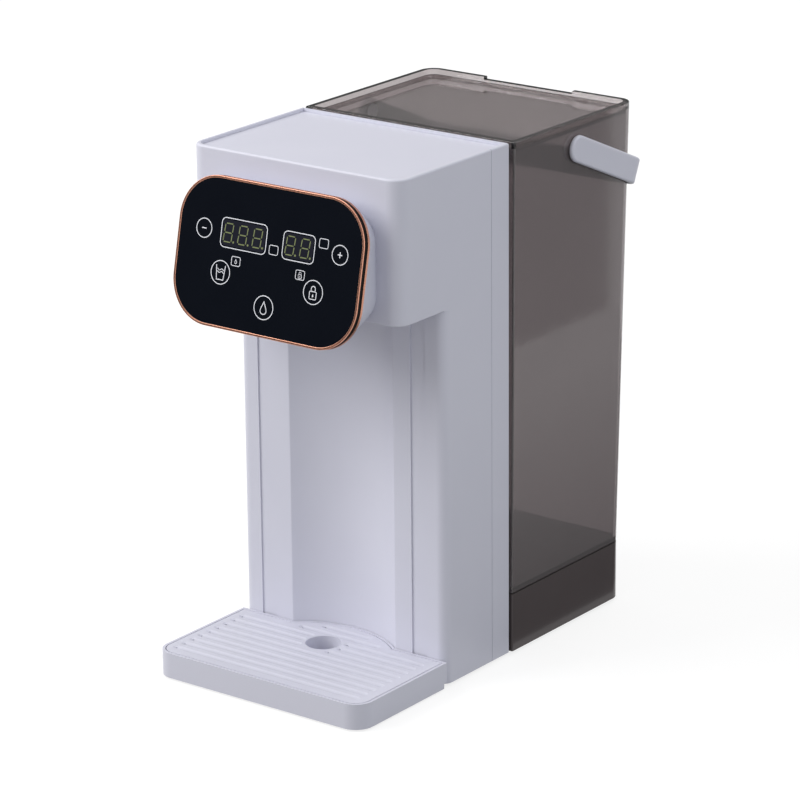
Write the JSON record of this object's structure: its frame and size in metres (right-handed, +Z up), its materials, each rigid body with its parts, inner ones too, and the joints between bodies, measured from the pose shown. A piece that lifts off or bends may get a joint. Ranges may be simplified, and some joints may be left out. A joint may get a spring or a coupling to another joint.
{
  "type": "instant hot water dispenser",
  "caption": "Countertop instant hot water dispenser: tilted touch panel over a drip tray, with a smoked lift-off water tank and bail handle behind.",
  "frame": {"origin": "middle of the whole footprint, on the surface the object stands on", "axes": "+Z up, -Y is the front with the panel and tray, +X is to the right seen from the front"},
  "size_m": [0.1538, 0.2732, 0.304],
  "materials": {
    "white_housing": "fine satin",
    "smoked_plastic": "clear smoked gloss",
    "smoked_base": "smoked gloss",
    "touch_glass": "black printed gloss",
    "copper_trim": "satin copper",
    "black_rubber": "matte",
    "white_silicone": "matte",
    "grey_rubber": "matte",
    "steel": "satin",
    "zinc_screw": "bright",
    "circuit_board": "solder mask",
    "board_parts": "moulded",
    "nylon": "moulded",
    "black_plastic": "moulded"
  },
  "bodies": {
    "housing": {"front_shell": "white_housing", "rear_shell": "white_housing", "top_cover": "white_housing", "pod_housing": "white_housing", "trim_ring": "copper_trim", "trim_gasket": "black_rubber", "touch_glass": "touch_glass", "control_board": "circuit_board", "display_modules": "black_plastic", "touch_springs": "steel", "spout_nozzle": "nylon", "steam_separator": "nylon", "heater_tube": "steel", "heater_caps": "nylon", "heater_brackets": "steel", "thermal_cutouts": "black_plastic", "temperature_sensors": "steel", "power_board": "circuit_board", "power_parts": "board_parts", "body_floor": "white_housing", "base_floor": "smoked_base", "base_shell": "smoked_base", "cord_gland": "black_plastic", "tank_socket": "nylon", "socket_seal": "white_silicone", "pump_motor": "steel", "pump_head": "nylon", "pump_cover": "nylon", "pump_cradles": "black_rubber", "inlet_hose": "white_silicone", "feed_hose": "white_silicone", "outlet_hose": "white_silicone", "feet": "grey_rubber", "case_screws": "zinc_screw"},
    "pump_rotor": {"pump_rotor": "nylon"},
    "tank": {"tank_shell": "smoked_plastic", "valve_cage": "nylon", "valve_spring": "steel"},
    "valve": {"valve_plunger": "nylon", "valve_washer": "white_silicone"},
    "lid": {"lid": "smoked_plastic"},
    "handle": {"handle": "white_housing", "handle_pins": "white_housing"},
    "tray": {"drip_tray": "white_housing", "tray_pads": "grey_rubber"},
    "grille": {"tray_grille": "white_housing"}
  },
  "joints": [
    {"name": "tank_lift", "type": "slide", "parent": "housing", "child": "tank", "axis": [0, 0, 1], "range_m": [0, 0.06]},
    {"name": "valve_close", "type": "slide", "parent": "tank", "child": "valve", "axis": [0, 0, -1], "range_m": [0, 0.004], "deforming": ["valve_spring"]},
    {"name": "lid_lift", "type": "slide", "parent": "tank", "child": "lid", "axis": [0, 0, 1], "range_m": [0, 0.03]},
    {"name": "handle_swing", "type": "hinge", "parent": "tank", "child": "handle", "pos_m": [0, 0.06938, 0.2876], "axis": [1, 0, 0], "range_deg": [0, 182]},
    {"name": "tray_pull", "type": "slide", "parent": "housing", "child": "tray", "axis": [0, -1, 0], "range_m": [0, 0.07]},
    {"name": "grille_lift", "type": "slide", "parent": "tray", "child": "grille", "axis": [0, 0, 1], "range_m": [0, 0.02]},
    {"name": "pump_spin", "type": "hinge", "parent": "housing", "child": "pump_rotor", "pos_m": [0.021, 0.07598, 0.019], "axis": [1, 0, 0], "continuous": true}
  ],
  "couplings": [
    {"joint": "valve_close", "follows": "tank_lift", "ratio": 0.0666}
  ]
}
